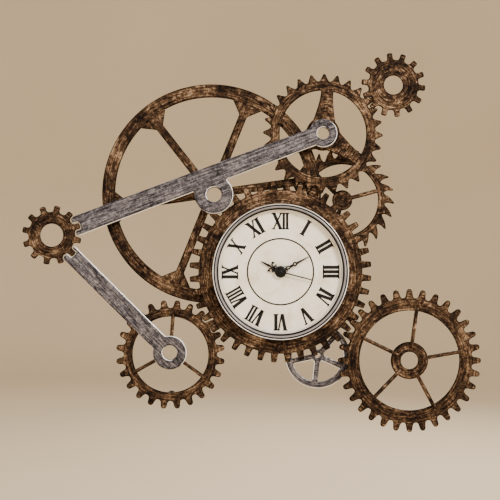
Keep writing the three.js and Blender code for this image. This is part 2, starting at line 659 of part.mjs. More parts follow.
// Standoffs keep the lower gears off the wall and end in rubber feet.
function standoff(side, wheel, degrees) {
  const at = polar(ringMiddle(wheel), degrees);
  place('standoff_' + side, plate(shapeOf(circle(STANDOFF.radius, 20, at)),
    STANDOFF.footThick + GAP, GEAR_LAYER.back - GAP), rust(), wheel);
  place('foot_' + side, plate(shapeOf(circle(STANDOFF.foot, 24, at)), 0, STANDOFF.footThick),
    rubber(), wheel);
}

standoff('left', LOWER_LEFT, 180);
standoff('right', LOWER_RIGHT, 180);

export default root;
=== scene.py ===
"""Looks of the gear wall clock.

Weathered gear plates, silvered arms, printed dial, hands, and the quartz movement behind.

Row frame: +X right, +Z up, -Y front, with the wall at y = 0. Local sizes are millimetres.
"Forward" is a distance from the wall. Angles are clock angles: 0 is up, clockwise from the front.
"""

import math
import random

import bmesh
import bpy
import numpy as np
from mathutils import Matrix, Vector, geometry, noise


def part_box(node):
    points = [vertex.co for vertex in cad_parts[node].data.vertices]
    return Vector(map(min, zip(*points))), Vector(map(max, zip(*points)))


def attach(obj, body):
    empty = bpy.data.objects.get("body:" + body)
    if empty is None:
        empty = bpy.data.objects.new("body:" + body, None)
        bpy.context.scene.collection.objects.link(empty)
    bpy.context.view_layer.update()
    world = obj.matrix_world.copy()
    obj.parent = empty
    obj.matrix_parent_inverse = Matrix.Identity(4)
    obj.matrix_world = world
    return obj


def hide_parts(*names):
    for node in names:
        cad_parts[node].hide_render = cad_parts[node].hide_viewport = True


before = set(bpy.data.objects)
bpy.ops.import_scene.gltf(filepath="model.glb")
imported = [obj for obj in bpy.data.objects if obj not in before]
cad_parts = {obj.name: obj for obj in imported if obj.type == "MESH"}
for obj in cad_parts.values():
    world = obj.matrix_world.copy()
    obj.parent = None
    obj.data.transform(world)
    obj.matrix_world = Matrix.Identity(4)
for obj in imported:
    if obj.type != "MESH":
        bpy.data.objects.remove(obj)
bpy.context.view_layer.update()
random.seed(7)

# ---------------------------------------------------------------- sizes, in millimetres

MM = 0.001
low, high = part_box("bezel")
CENTRE = ((low.x + high.x) / 2 / MM, (low.z + high.z) / 2 / MM)  # of the dial, right and up
WHEELS = {  # centres from the dial's centre
    "clock": (0, 0),
    "lower_left": (-215, -161.9),
    "lower_right": (252.2, -173.6),
    "upper": (83.1, 269.6),
    "corner": (220.9, 365),
    "left": (-445.2, 71.2),
    "ratchet": (122.8, 140.8),
    "flywheel": (-135, 152.9),
    "spoked": (73.3, -165.8),
}
HUB_SHIFT = {"lower_left": (-0.6, 4.6), "flywheel": (5.2, -2.4)}  # hubs a little off their wheels' middles
PLATE_STEP = 4.2  # spacing of the points inside a plate
PLATE_BEVEL = 0.7
ARM_STEP = 3.2
ARM_BEVEL = 1.3
DEEPEST_EDGE = 9  # the edge attribute stops growing here
DIAL_FRONT = -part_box("dial")[0].y / MM
PRINT_FORWARD = DIAL_FRONT + 0.04
CELL_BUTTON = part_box("battery")[1].x / MM - 1.4  # where the bare button starts, rightwards
CELL_BAND = CELL_BUTTON - 13
PRINT_THICK = 0.12
NUMERAL_FOOT = 82.5
NUMERAL_TALL = 32.5
CHAPTER_RADIUS = 64.5
CHAPTER_HALF_WIDTH = 1.5


def wheel_centre(wheel):
    return Vector((WHEELS[wheel][0] + CENTRE[0], WHEELS[wheel][1] + CENTRE[1]))


def polar(radius, degrees):
    turn = math.radians(degrees)
    return Vector((radius * math.sin(turn), radius * math.cos(turn)))


def row_point(right, up, forward):
    return Vector((right * MM, -forward * MM, up * MM))


# ---------------------------------------------------------------- node materials


class Look:
    """A Principled material, with short ways to add and join its nodes."""

    def __init__(self, name, roughness=0.5, metallic=0.0):
        self.material = bpy.data.materials.new(name)
        self.material.use_nodes = True
        self.tree = self.material.node_tree
        self.shader = self.tree.nodes["Principled BSDF"]
        self.shader.inputs["Roughness"].default_value = roughness
        self.shader.inputs["Metallic"].default_value = metallic

    def put(self, socket, value):
        if isinstance(value, bpy.types.NodeSocket):
            self.tree.links.new(value, socket)
        else:
            socket.default_value = value

    def set(self, **values):
        for name, value in values.items():
            self.put(self.shader.inputs[name.replace("_", " ")], value)

    def place(self):
        """Place on the object, in millimetres."""
        return self.scaled(self.tree.nodes.new("ShaderNodeTexCoord").outputs["Object"], (1 / MM,) * 3)

    def axis(self, vector, name):
        node = self.tree.nodes.new("ShaderNodeSeparateXYZ")
        self.put(node.inputs[0], vector)
        return node.outputs[name]

    def attribute(self, name, output="Fac"):
        node = self.tree.nodes.new("ShaderNodeAttribute")
        node.attribute_name = name
        return node.outputs[output]

    def scaled(self, vector, by):
        node = self.tree.nodes.new("ShaderNodeVectorMath")
        node.operation = "MULTIPLY"
        self.put(node.inputs[0], vector)
        node.inputs[1].default_value = by
        return node.outputs["Vector"]

    def noise(self, vector, scale, detail=4, rough=0.6, distortion=0.0):
        node = self.tree.nodes.new("ShaderNodeTexNoise")
        self.put(node.inputs["Vector"], vector)
        node.inputs["Scale"].default_value = scale
        node.inputs["Detail"].default_value = detail
        node.inputs["Roughness"].default_value = rough
        node.inputs["Distortion"].default_value = distortion
        return node.outputs["Fac"]

    def math(self, operation, first, second=0.0, third=0.0):
        node = self.tree.nodes.new("ShaderNodeMath")
        node.operation = operation
        for socket, value in zip(node.inputs, (first, second, third)):
            self.put(socket, value)
        return node.outputs[0]

    def total(self, *weighted):
        """Sum of (value, weight) pairs."""
        result = 0.0
        for value, weight in weighted:
            result = self.math("MULTIPLY_ADD", value, weight, result)
        return result

    def span(self, value, start, end, low=0.0, high=1.0):
        """Value mapped from start..end to low..high, held at the ends."""
        node = self.tree.nodes.new("ShaderNodeMapRange")
        node.interpolation_type = "SMOOTHSTEP"
        self.put(node.inputs["Value"], value)
        node.inputs["From Min"].default_value = start
        node.inputs["From Max"].default_value = end
        node.inputs["To Min"].default_value = low
        node.inputs["To Max"].default_value = high
        return node.outputs["Result"]

    def ramp(self, value, stops):
        node = self.tree.nodes.new("ShaderNodeValToRGB")
        self.put(node.inputs["Fac"], value)
        elements = node.color_ramp.elements
        elements[0].position, elements[0].color = stops[0][0], (*stops[0][1], 1)
        elements[1].position, elements[1].color = stops[-1][0], (*stops[-1][1], 1)
        for position, colour in stops[1:-1]:
            elements.new(position).color = (*colour, 1)
        return node.outputs["Color"]

    def mix(self, factor, first, second, blend="MIX"):
        node = self.tree.nodes.new("ShaderNodeMix")
        node.data_type = "RGBA"
        node.blend_type = blend
        self.put(node.inputs["Factor"], factor)
        for socket, value in ((node.inputs[6], first), (node.inputs[7], second)):
            self.put(socket, value if isinstance(value, bpy.types.NodeSocket) else (*value, 1))
        return node.outputs[2]

    def bump(self, height, strength, distance):
        node = self.tree.nodes.new("ShaderNodeBump")
        self.put(node.inputs["Height"], height)
        node.inputs["Strength"].default_value = strength
        node.inputs["Distance"].default_value = distance * MM
        self.set(Normal=node.outputs["Normal"])


# the darkest rust tone, also the colour of the painted shade along the edges
SOOT_AND_EDGE_SHADE = (0.0035, 0.0025, 0.0022)
DARK_RUST = (0.011, 0.0063, 0.0045)
BROWN_RUST = (0.043, 0.024, 0.014)
COPPER = (0.130, 0.074, 0.040)
RUBBED_COPPER = (0.420, 0.290, 0.185)


def rust_look(name, with_edges):
    """Antiqued iron: black-brown patina with copper showing through in patches and brush strokes, and, where
    edges are known, painted shade along each edge.
    """
    look = Look(name)
    place = look.place()
    patches = look.noise(place, 0.022, 4, 0.55)
    mottle = look.noise(place, 0.12, 8, 0.72, 0.8)
    speckle = look.noise(place, 0.75, 3, 0.6)
    parts = [(patches, 0.24), (mottle, 0.36), (speckle, 0.16)]
    if with_edges:
        grain = look.attribute("grain", "Vector")
        around = look.noise(look.scaled(grain, (0.03, 0.42, 0.03)), 1.0, 5, 0.7)
        across = look.noise(look.scaled(grain, (0.36, 0.05, 0.36)), 1.0, 4, 0.65)
        parts += [(around, 0.42), (across, 0.08)]
        weight = 1.26
    else:
        weight = 0.76
    tone = look.math("DIVIDE", look.total(*parts), weight)
    colour = look.ramp(tone, [
        (0.425, SOOT_AND_EDGE_SHADE), (0.462, DARK_RUST), (0.50, BROWN_RUST), (0.535, COPPER), (0.585, RUBBED_COPPER),
    ])
    if with_edges:
        # painted shade: near black towards each edge, standing in for the shading of the rounded edges and
        # the contact shadow
        edge = look.attribute("edge")
        inside = look.span(look.total((edge, 1.0), (mottle, 5.0)), 2.6, 5.4)
        colour = look.mix(inside, SOOT_AND_EDGE_SHADE, colour)
    look.set(
        Base_Color=colour,
        Metallic=look.span(tone, 0.44, 0.54, 0.35, 0.7),
        Roughness=look.span(mottle, 0.35, 0.68, 0.7, 0.4),
        Specular_IOR_Level=0.06,
    )
    look.bump(look.total((mottle, 1.0), (speckle, 0.4)), 0.8, 1.0)
    return look.material


STREAK_DARK = (0.008, 0.007, 0.008)
PEWTER = (0.060, 0.054, 0.062)
LILAC_STEEL = (0.155, 0.143, 0.162)
PALE_STEEL = (0.380, 0.362, 0.385)
# bare rubbed steel, bright enough to serve as a painted highlight on the lit edges
RUBBED_STEEL_GLINT = (0.900, 0.880, 0.870)


def silver_look():
    """Distressed pewter: streaks of dark patina along the piece, edges rubbed back to bright metal, and a
    painted highlight on the edges that face the light.
    """
    look = Look("rubbed_silver")
    place = look.place()
    grain = look.attribute("grain", "Vector")
    edge = look.attribute("edge")
    mottle = look.noise(place, 0.10, 8, 0.7, 0.9)
    speckle = look.noise(place, 0.5, 4, 0.75)
    streak = look.noise(look.scaled(grain, (0.022, 0.30, 0.022)), 1.0, 6, 0.75)
    tone = look.total((mottle, 0.30), (speckle, 0.22), (streak, 0.48))
    colour = look.ramp(tone, [
        (0.435, STREAK_DARK), (0.472, PEWTER), (0.52, LILAC_STEEL), (0.575, PALE_STEEL),
    ])
    ring = look.total((edge, 1.0), (mottle, 3.0))
    patina_line = look.math("MULTIPLY", look.span(ring, 2.4, 3.4), look.span(ring, 5.4, 4.0))
    chips = look.span(look.noise(place, 0.16, 4, 0.7), 0.44, 0.58, 0.25, 1.0)
    colour = look.mix(look.math("MULTIPLY", patina_line, chips), colour, STREAK_DARK)
    # painted highlight: the rim attribute picks the edges on the side facing the light, and only those get
    # the near-white rubbed steel
    lit = look.total((look.attribute("rim"), 1.0), (look.noise(place, 0.06, 3, 0.5), 0.9))
    bare_edge = look.span(look.total((edge, 1.0), (speckle, 1.2)), 2.3, 1.5)
    lit_edge_glint = look.math("MULTIPLY", bare_edge, look.span(lit, 0.5, 0.8))
    colour = look.mix(lit_edge_glint, colour, RUBBED_STEEL_GLINT)
    look.set(
        Base_Color=colour,
        Metallic=look.span(tone, 0.42, 0.52, 0.35, 0.8),
        Roughness=look.span(tone, 0.42, 0.6, 0.6, 0.36),
        Specular_IOR_Level=0.15,
    )
    look.bump(look.total((mottle, 0.8), (streak, 0.7), (speckle, 0.3)), 0.6, 0.8)
    return look.material


def bezel_look():
    """Turned steel: the per-step colour attribute holds each step's tone, with painted highlights on the
    crests and painted shade in the grooves, and fine turning lines run round it.
    """
    look = Look("bezel_steel", metallic=0.55)
    lit_tone = look.attribute("lit_tone", "Color")
    grain = look.attribute("grain", "Vector")
    turning = look.noise(look.scaled(grain, (0.03, 0.7, 0.03)), 1.0, 3, 0.6)
    smears = look.noise(look.place(), 0.05, 5, 0.6)
    shade = look.span(look.total((turning, 0.5), (smears, 0.5)), 0.35, 0.65, 0.72, 1.12)
    look.set(
        Base_Color=look.mix(1.0, lit_tone, look.ramp(shade, [(0.0, (0, 0, 0)), (1.0, (1, 1, 1))]), "MULTIPLY"),
        Roughness=look.span(turning, 0.35, 0.65, 0.32, 0.5),
        Specular_IOR_Level=0.2,
    )
    look.bump(turning, 0.3, 0.12)
    return look.material


def dial_look():
    """Aged cream paper on the dial plate, a little darker in blotches."""
    look = Look("aged_cream")
    place = look.place()
    blotches = look.noise(place, 0.03, 6, 0.62, 0.4)
    fibres = look.noise(look.scaled(place, (1.0, 1.0, 2.6)), 0.5, 5, 0.7)
    colour = look.ramp(look.total((blotches, 0.75), (fibres, 0.25)), [
        (0.38, (0.800, 0.700, 0.530)), (0.47, (0.920, 0.850, 0.710)), (0.62, (0.960, 0.925, 0.840)),
    ])
    board = look.ramp(fibres, [(0.35, (0.110, 0.075, 0.045)), (0.65, (0.230, 0.165, 0.105))])
    behind = look.span(look.axis(place, "Y"), -DIAL_FRONT + 0.3, -DIAL_FRONT + 0.5)
    look.set(Base_Color=look.mix(behind, colour, board), Roughness=look.span(fibres, 0.3, 0.7, 0.55, 0.72))
    look.bump(fibres, 0.25, 0.08)
    return look.material


def cell_look():
    """A plain green cell jacket with a brass-coloured band at its button end, scuffed all over."""
    look = Look("cell_jacket", metallic=0.2)
    place = look.place()
    scuff = look.noise(place, 0.5, 5, 0.7)
    green = look.ramp(scuff, [(0.36, (0.015, 0.075, 0.040)), (0.66, (0.045, 0.150, 0.080))])
    brass = look.ramp(scuff, [(0.36, (0.340, 0.230, 0.080)), (0.66, (0.560, 0.400, 0.160))])
    bare = look.ramp(scuff, [(0.36, (0.380, 0.375, 0.365)), (0.66, (0.680, 0.670, 0.655))])
    right = look.axis(place, "X")
    colour = look.mix(look.span(right, CELL_BAND, CELL_BAND + 0.3), green, brass)
    colour = look.mix(look.span(right, CELL_BUTTON, CELL_BUTTON + 0.2), colour, bare)
    look.set(Base_Color=colour, Roughness=look.span(scuff, 0.3, 0.7, 0.3, 0.5))
    look.bump(scuff, 0.2, 0.06)
    return look.material


def dark_look(name, colour, lighter, roughness, scale=0.8, strength=0.3):
    """A dark moulded or painted surface with a fine grain and slight fading."""
    look = Look(name)
    place = look.place()
    fade = look.noise(place, 0.06, 5, 0.6)
    grain = look.noise(place, scale, 5, 0.7)
    look.set(
        Base_Color=look.ramp(look.total((fade, 0.6), (grain, 0.4)), [(0.36, colour), (0.66, lighter)]),
        Roughness=look.span(grain, 0.3, 0.7, roughness - 0.1, roughness + 0.12),
        Specular_IOR_Level=0.2,
    )
    look.bump(grain, strength, 0.12)
    return look.material


def metal_look(name, dark, light, roughness, scale=0.35):
    look = Look(name, metallic=0.9)
    place = look.place()
    stain = look.noise(place, 0.09, 6, 0.65)
    scratch = look.noise(look.scaled(place, (0.4, 0.4, 5.0)), scale, 4, 0.6)
    look.set(
        Base_Color=look.ramp(look.total((stain, 0.6), (scratch, 0.4)), [(0.36, dark), (0.64, light)]),
        Roughness=look.span(stain, 0.3, 0.7, roughness - 0.1, roughness + 0.15),
    )
    look.bump(scratch, 0.3, 0.08)
    return look.material


RUST = rust_look("antiqued_rust", True)
RUST_PLAIN = rust_look("antiqued_rust_plain", False)
SILVER = silver_look()
BEZEL = bezel_look()
CREAM = dial_look()
INK = dark_look("dial_ink", (0.004, 0.004, 0.004), (0.010, 0.009, 0.008), 0.7)
SEPIA = dark_look("sepia_ink", (0.008, 0.005, 0.003), (0.022, 0.014, 0.008), 0.7)
HAND = dark_look("hand_enamel", (0.002, 0.002, 0.002), (0.006, 0.006, 0.006), 0.34)
PLASTIC = dark_look("black_plastic", (0.014, 0.014, 0.015), (0.030, 0.030, 0.031), 0.55, scale=1.6)
RUBBER = dark_look("foot_rubber", (0.018, 0.018, 0.018), (0.045, 0.044, 0.042), 0.85, scale=1.1)
BRASS = metal_look("nut_brass", (0.48, 0.30, 0.10), (0.80, 0.58, 0.26), 0.34)
TIN = metal_look("contact_tin", (0.45, 0.44, 0.43), (0.78, 0.77, 0.75), 0.32)
JACKET = cell_look()


# ---------------------------------------------------------------- meshes


def piece_of(name, vertices, faces, material, body="frame", smooth=True):
    """A mesh object from points in the row frame, riding on a body of the frame."""
    mesh = bpy.data.meshes.new(name)
    mesh.from_pydata([tuple(v) for v in vertices], [], faces)
    mesh.materials.append(material)
    mesh.polygons.foreach_set("use_smooth", [smooth] * len(mesh.polygons))
    mesh.validate()
    mesh.update()
    obj = bpy.data.objects.new(name, mesh)
    bpy.context.scene.collection.objects.link(obj)
    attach(obj, body)
    return obj


def face_outwards(obj):
    shape = bmesh.new()
    shape.from_mesh(obj.data)
    bmesh.ops.recalc_face_normals(shape, faces=shape.faces)
    shape.to_mesh(obj.data)
    shape.free()


def store(obj, name, kind, values):
    attribute = obj.data.attributes.new(name, kind, "POINT")
    field = {"FLOAT": "value", "FLOAT_VECTOR": "vector", "FLOAT_COLOR": "color"}[kind]
    attribute.data.foreach_set(field, np.asarray(values, np.float32).ravel())


def front_loops(node):
    """The closed outlines of a flat node's front face, and how far its back and front are from the wall."""
    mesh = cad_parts[node].data
    points = [tuple(round(c / MM, 3) for c in v.co) for v in mesh.vertices]
    front = min(p[1] for p in points)
    back = max(p[1] for p in points)
    following = {}
    edges = set()
    for face in mesh.polygons:
        ring = [points[v] for v in face.vertices]
        if all(abs(p[1] - front) < 0.01 for p in ring):
            edges.update(zip(ring, ring[1:] + ring[:1]))
    for start, end in edges:
        if (end, start) not in edges:
            following[start] = end
    loops = []
    while following:
        start, here = following.popitem()
        loop = [Vector((start[0], start[2]))]
        while here != start:
            loop.append(Vector((here[0], here[2])))
            here = following.pop(here)
        loops.append(loop)
    return loops, -back, -front


SHALLOW = math.radians(16)  # kinks under this are facets of a curve


def eased(loop, corner):
    """One pass of corner cutting: facets of a curve turn smooth, and real corners get a small round."""
    result = []
    count = len(loop)
    for i, here in enumerate(loop):
        back = loop[i - 1] - here
        ahead = loop[(i + 1) % count] - here
        most = 1e9 if math.pi - back.angle(ahead) < SHALLOW else corner
        result.append(here + back * min(0.25, most / back.length))
        result.append(here + ahead * min(0.25, most / ahead.length))
    return result


def divided(loop, step):
    result = []
    for here, ahead in zip(loop, loop[1:] + loop[:1]):
        parts = max(1, math.ceil((ahead - here).length / step))
        result += [here.lerp(ahead, i / parts) for i in range(parts)]
    return result


class Outline:
    """Loops as segments, to tell how far inside them a point lies."""

    def __init__(self, loops):
        self.start = np.array([p for loop in loops for p in loop])
        self.end = np.array([p for loop in loops for p in loop[1:] + loop[:1]])

    def depth(self, points):
        """Distance to the nearest edge, negative outside."""
        result = []
        for chunk in np.array_split(np.asarray(points), max(1, len(points) * len(self.start) // 2_000_000)):
            along = self.end - self.start
            offset = chunk[:, None] - self.start[None]
            t = np.clip((offset * along).sum(2) / (along**2).sum(1), 0, 1)
            distance = np.sqrt(((offset - t[..., None] * along) ** 2).sum(2).min(1))
            y = chunk[:, None, 1]
            crosses = (self.start[:, 1] > y) != (self.end[:, 1] > y)
            level = np.where(along[:, 1] == 0, 1e-9, along[:, 1])
            cut = self.start[:, 0] + (y - self.start[:, 1]) * along[:, 0] / level
            inside = (crosses & (chunk[:, None, 0] < cut)).sum(1) % 2 == 1
            result.append(np.where(inside, distance, -distance))
        return np.concatenate(result)


def inset(loop, depth):
    """Points beside a loop, on both sides; the ones outside are dropped later."""
    result = []
    count = len(loop)
    for i, here in enumerate(loop):
        along = (loop[(i + 1) % count] - loop[i - 1]).normalized()
        side = Vector((-along.y, along.x)) * depth
        result += [here + side, here - side]
    return result


def wheel_grain(centre):
    """Noise coordinates whose second axis is the radius, without a seam round the wheel."""

    def grain(points):
        offset = points - np.array(centre)
        radius = np.linalg.norm(offset, axis=1)
        mean = radius.mean()
        turn = offset / np.maximum(radius, 1e-6)[:, None] * mean
        return np.column_stack([turn[:, 0], radius, turn[:, 1]])

    return grain


def bar_grain(start, end):
    along = (end - start).normalized()
    side = Vector((-along.y, along.x))

    def grain(points):
        offset = points - np.array(start)
        return np.column_stack([offset @ np.array(along), offset @ np.array(side), np.zeros(len(points))])

    return grain


LIT_EDGE_SIDE = {  # the side of a silvered piece whose edges face the light and get a painted highlight over rubbed metal, right and up
    "long_arm": (0.82, -0.57), "short_arm": (0.82, 0.57), "spoked_wheel": (-0.57, -0.82),
}
LIT_EDGE_REACH = 3  # how far in from an edge the painted highlight fades out
SECOND_ROW = 2.6  # from a plate's edge to its second row of points
JITTER = 0.5  # most that a point inside a plate is moved either way


def plate(node, material, grain, step=PLATE_STEP, bevel=PLATE_BEVEL, corner=1.2, relief=0.22):
    """A flat node made again with eased corners, rounded edges and an uneven worked face."""
    loops, back, front = front_loops(node)
    loops = [divided(eased(eased(loop, corner), corner), step) for loop in loops]
    outline = Outline(loops)
    rim = [p for loop in loops for p in loop]
    edges = []
    first = 0
    for loop in loops:
        edges += [(first + i, first + (i + 1) % len(loop)) for i in range(len(loop))]
        first += len(loop)

    near = np.array([p for depth in (bevel, SECOND_ROW) for loop in loops for p in inset(loop, depth)])
    wanted = np.repeat([bevel, SECOND_ROW], len(near) // 2)
    near = near[outline.depth(near) > 0.86 * wanted]
    low = np.array(rim).min(0)
    high = np.array(rim).max(0)
    rows = np.arange(low[1], high[1], step * 0.87)
    field = np.array([
        (x + (step / 2 if row % 2 else 0) + random.uniform(-JITTER, JITTER),
         y + random.uniform(-JITTER, JITTER))
        for row, y in enumerate(rows)
        for x in np.arange(low[0], high[0], step)
    ])
    field = field[outline.depth(field) > SECOND_ROW + step * 0.45]
    inner = [Vector(p) for p in np.concatenate([near, field])]
    points, _, triangles, sources, _, _ = geometry.delaunay_2d_cdt(rim + inner, edges, [], 0, 1e-5)
    flat = np.array([tuple(p) for p in points])
    middles = np.array([(flat[t[0]] + flat[t[1]] + flat[t[2]]) / 3 for t in triangles])
    kept = outline.depth(middles) > 0
    triangles = [t for t, keep in zip(triangles, kept) if keep]
    depth = outline.depth(flat)
    for i, source in enumerate(sources):
        if source and source[0] < len(rim):
            depth[i] = 0
    depth = np.clip(depth, 0, None)
    drop = bevel - np.sqrt(np.clip(bevel**2 - np.clip(bevel - depth, 0, bevel) ** 2, 0, None))
    waves = np.array([
        noise.noise((x * 0.06, y * 0.06, 3)) + 0.5 * noise.noise((x * 0.15, y * 0.15, 9)) for x, y in flat
    ])
    lift = relief * waves * np.clip(depth / 3, 0, 1)
    count = len(flat)
    vertices = [row_point(x, y, front - d + w) for (x, y), d, w in zip(flat, drop, lift)]
    vertices += [row_point(x, y, back + d) for (x, y), d in zip(flat, drop)]
    faces = [tuple(t) for t in triangles]
    faces += [tuple(i + count for i in reversed(t)) for t in triangles]
    used = {}
    for t in triangles:
        for a, b in ((t[0], t[1]), (t[1], t[2]), (t[2], t[0])):
            used[(a, b)] = used.get((a, b), 0) + 1
    for a, b in used:
        if (b, a) not in used:
            faces.append((b, a, a + count, b + count))
    obj = piece_of("plate_" + node, vertices, faces, material)
    face_outwards(obj)
    # the rim attribute: how much an edge faces the lit side, the mask of the painted highlight
    if node in LIT_EDGE_SIDE:
        ahead = outline.depth(flat + LIT_EDGE_REACH * np.array(LIT_EDGE_SIDE[node]))
        store(obj, "rim", "FLOAT", np.tile(np.clip((depth - ahead) / LIT_EDGE_REACH, 0, 1), 2))
    store(obj, "edge", "FLOAT", np.tile(np.clip(depth, 0, DEEPEST_EDGE), 2))
    store(obj, "grain", "FLOAT_VECTOR", np.tile(grain(flat), (2, 1)))
    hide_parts(node)


def lathe(name, profile, centre, material, body="frame", turns=160, lit_tones=None):
    """A piece turned about a front-to-back axis. The profile is a closed list of (radius, forward)."""
    vertices = []
    for i in range(turns):
        for radius, forward in profile:
            at = polar(radius, 360 * i / turns)
            vertices.append(row_point(centre.x + at.x, centre.y + at.y, forward))
    size = len(profile)
    faces = []
    for i in range(turns):
        for j in range(size):
            a, b = i * size, (i + 1) % turns * size
            k = (j + 1) % size
            faces.append((a + j, b + j, b + k, a + k))
    obj = piece_of(name, vertices, faces, material, body)
    shape = bmesh.new()
    shape.from_mesh(obj.data)
    bmesh.ops.remove_doubles(shape, verts=shape.verts, dist=1e-7)
    bmesh.ops.recalc_face_normals(shape, faces=shape.faces)
    shape.to_mesh(obj.data)
    shape.free()
    # each ring gets its listed tone; on the bezel these tones carry painted highlights and shade
    if lit_tones:
        flat = np.array([(v.co.x / MM, v.co.z / MM) for v in obj.data.vertices])
        radii = np.linalg.norm(flat - np.array(centre), axis=1)
        forwards = np.array([-v.co.y / MM for v in obj.data.vertices])
        nearest = [
            min(range(size), key=lambda j: (profile[j][0] - r) ** 2 + (profile[j][1] - f) ** 2)
            for r, f in zip(radii, forwards)
        ]
        store(obj, "lit_tone", "FLOAT_COLOR", [(*lit_tones[j], 1) for j in nearest])
        store(obj, "grain", "FLOAT_VECTOR", wheel_grain(centre)(flat))
    return obj


def prism(vertices, faces, outline, back, front):
    """Adds a closed slab with a flat outline, right and up in millimetres, to a growing mesh."""
    first = len(vertices)
    count = len(outline)
    vertices += [row_point(p[0], p[1], front) for p in outline]
    vertices += [row_point(p[0], p[1], back) for p in outline]
    faces.append(tuple(first + i for i in range(count)))
    faces.append(tuple(first + count + i for i in reversed(range(count))))
    for i in range(count):
        j = (i + 1) % count
        faces.append((first + j, first + i, first + count + i, first + count + j))


def slab_piece(name, outlines, back, front, material, body="frame"):
    vertices, faces = [], []
    for outline in outlines:
        prism(vertices, faces, outline, back, front)
    obj = piece_of(name, vertices, faces, material, body, smooth=False)
    face_outwards(obj)
    return obj


def tube_faces(rings, size):
    """Faces of a tube made of rings of points, closed at both ends."""
    faces = []
    for i in range(rings - 1):
        for j in range(size):
            k = (j + 1) % size
            faces.append((i * size + j, i * size + k, (i + 1) * size + k, (i + 1) * size + j))
    faces.append(tuple(range(size)))
    faces.append(tuple(reversed([(rings - 1) * size + j for j in range(size)])))
    return faces


def rod(node, start, end, width, back, front):
    """A rod with a flat underside and a round top, its ends closed by a small dome."""
    axis = (end - start).normalized()
    side = Vector((-axis.y, axis.x))
    length = (end - start).length
    section = [(math.cos(math.pi * i / 10), math.sin(math.pi * i / 10)) for i in range(11)]
    stations = [(0.0, 0.45), (0.5, 0.75), (1.4, 0.94), (2.6, 1.0)]
    stations += [(d, 1.0) for d in np.arange(6, length - 6, 5)]
    stations += [(length - d, s) for d, s in reversed(stations[:4])]
    vertices, edge, grain = [], [], []
    for distance, swell in stations:
        for across, up in section:
            at = start + axis * distance + side * (across * width / 2 * swell)
            bumpy = 0.18 * noise.noise((at.x * 0.2, at.y * 0.2, 1))
            vertices.append(row_point(at.x, at.y, back + (front - back + bumpy) * (0.12 + 0.88 * up) * swell))
            # the edge values are low on the flanks and the underside, which brings in the rust's painted
            # shade there
            edge.append(1.2 + 5.5 * up * swell)
            grain.append((distance, across * width / 2, 0))
        for across in (-1, 1):
            at = start + axis * distance + side * (across * width / 2 * swell)
            vertices.append(row_point(at.x, at.y, back))
            edge.append(0.5)
            grain.append((distance, across * width / 2, 0))
    faces = tube_faces(len(stations), len(section) + 2)
    obj = piece_of("round_" + node, vertices, faces, RUST)
    face_outwards(obj)
    store(obj, "edge", "FLOAT", edge)
    store(obj, "grain", "FLOAT_VECTOR", grain)
    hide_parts(node)


# ---------------------------------------------------------------- gears, wheels and arms

WHEEL_OF = {
    "clock_gear": "clock",
    "upper_gear": "upper",
    "corner_gear": "corner",
    "left_gear": "left",
    "ratchet_ring": "ratchet",
    "ratchet_hub": "ratchet",
    "flywheel_rim": "flywheel",
    "flywheel_hub": "flywheel",
    "lower_left_ring": "lower_left",
    "lower_left_hub": "lower_left",
    "lower_right_ring": "lower_right",
    "lower_right_hub": "lower_right",
}
for node, wheel in WHEEL_OF.items():
    plate(node, RUST, wheel_grain(wheel_centre(wheel)))
plate("spoked_wheel", SILVER, wheel_grain(wheel_centre("spoked")), step=3)

FLYWHEEL_SPOKES, FLYWHEEL_PHASE = 6, 22
RATCHET_SPOKES, RATCHET_PHASE = 3, 75
SPOKE_STEP = 3.4
for wheel, count, phase in (
    ("flywheel", FLYWHEEL_SPOKES, FLYWHEEL_PHASE),
    ("ratchet", RATCHET_SPOKES, RATCHET_PHASE),
):
    hub = wheel_centre(wheel)
    for i in range(count):
        outward = hub + polar(100, phase + i * 360 / count)
        plate(f"{wheel}_spoke_{i + 1}", RUST, bar_grain(hub, outward), step=SPOKE_STEP)

for node, end in (("long_arm", "upper"), ("short_arm", "lower_left")):
    plate(node, SILVER, bar_grain(wheel_centre("left"), wheel_centre(end)), ARM_STEP, ARM_BEVEL, 1.8, 0.3)

ROD_BACK, ROD_FRONT = 34.3, 38.5
for wheel, count, phase, width, start, end in (  # start from the hub's middle, end from the wheel's
    ("lower_left", 3, 4, 7.0, 21, 80.3),
    ("lower_right", 5, 8, 7.4, 25, 105.8),
):
    for i in range(count):
        degrees = phase + i * 360 / count
        hub = wheel_centre(wheel) + Vector(HUB_SHIFT.get(wheel, (0, 0)))
        tip = wheel_centre(wheel) + polar(end, degrees)
        rod(f"{wheel}_rod_{i + 1}", hub + (tip - hub).normalized() * start, tip, width, ROD_BACK, ROD_FRONT)


def bead(name, path, width, face, height):
    """A lumpy weld bead along a flat path, on a face at that distance from the wall.

    Height is negative for a bead that stands towards the wall.
    """
    section = [(math.cos(math.pi * i / 6), math.sin(math.pi * i / 6)) for i in range(7)]
    vertices, edge, grain = [], [], []
    for i, at in enumerate(path):
        along = (path[min(i + 1, len(path) - 1)] - path[max(i - 1, 0)]).normalized()
        side = Vector((-along.y, along.x))
        swell = 0.85 + 0.3 * noise.noise((at.x * 0.5, at.y * 0.5, 4))
        if i in (0, len(path) - 1):
            swell *= 0.35
        for across, up in section:
            spot = at + side * (across * width / 2 * swell)
            vertices.append(row_point(spot.x, spot.y, face + height * (up * swell - 0.12)))
            # low edge values at the bead's foot bring in the rust's painted edge shade there
            edge.append(2.6 + 3 * up)
            grain.append((spot.x, spot.y, 0))
    obj = piece_of(name, vertices, tube_faces(len(path), len(section)), RUST)
    face_outwards(obj)
    store(obj, "edge", "FLOAT", edge)
    store(obj, "grain", "FLOAT_VECTOR", grain)


